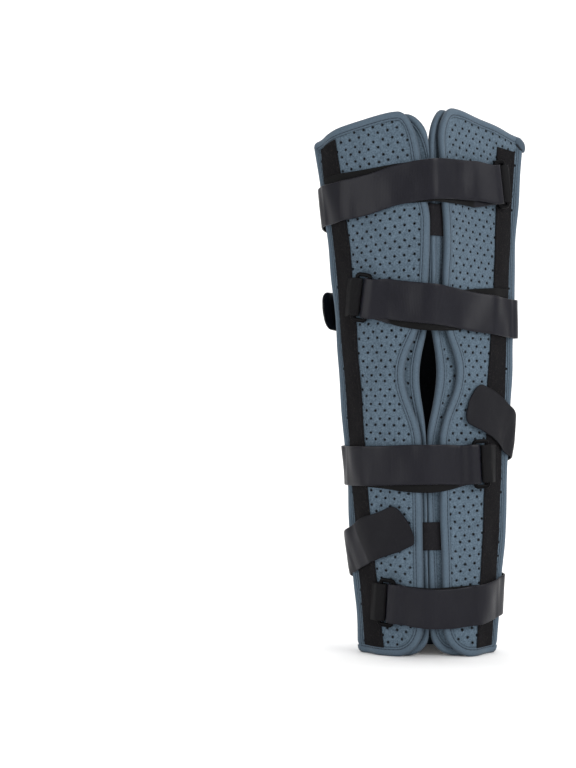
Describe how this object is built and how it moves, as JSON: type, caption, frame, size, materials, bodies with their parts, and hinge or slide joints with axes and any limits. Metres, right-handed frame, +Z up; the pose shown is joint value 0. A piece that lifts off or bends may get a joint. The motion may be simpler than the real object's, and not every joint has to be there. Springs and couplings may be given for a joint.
{
  "type": "knee immobiliser",
  "caption": "Padded full leg brace: a perforated foam tube that closes in front of the leg, with side panels, a knee opening and webbing straps doubled back through rings.",
  "frame": {"origin": "middle of the footprint at the height of the lower rim, which stands on the floor", "axes": "+Z up along the leg to the thigh, -Y out of the front slit, +X to the right of someone facing the front"},
  "size_m": [0.2036, 0.1579, 0.524],
  "materials": {
    "foam_cloth": "perforated foam-backed knit, matt",
    "lining_cloth": "black brushed cloth",
    "binding_tape": "folded stretch tape",
    "loop_cloth": "black loop and hook cloth",
    "webbing": "black satin-faced webbing",
    "ring_plastic": "black moulded plastic"
  },
  "bodies": {
    "root": {"wrap": "foam_cloth", "wrap_lining": "lining_cloth", "wrap_binding": "binding_tape", "side_panel_left": "foam_cloth", "side_binding_left": "binding_tape", "stay_strip_left": "loop_cloth", "side_panel_right": "foam_cloth", "side_binding_right": "binding_tape", "stay_strip_right": "loop_cloth", "closure_tab_upper": "loop_cloth", "closure_tab_lower": "loop_cloth", "thigh_strap_upper": "webbing", "thigh_strap_upper_tab": "webbing", "thigh_strap_upper_ring": "ring_plastic", "thigh_strap_lower": "webbing", "thigh_strap_lower_tab": "webbing", "thigh_strap_lower_ring": "ring_plastic", "calf_strap_upper": "webbing", "calf_strap_upper_tab": "webbing", "calf_strap_upper_ring": "ring_plastic", "calf_strap_lower": "webbing", "calf_strap_lower_tab": "webbing", "calf_strap_lower_ring": "ring_plastic"}
  },
  "joints": []
}
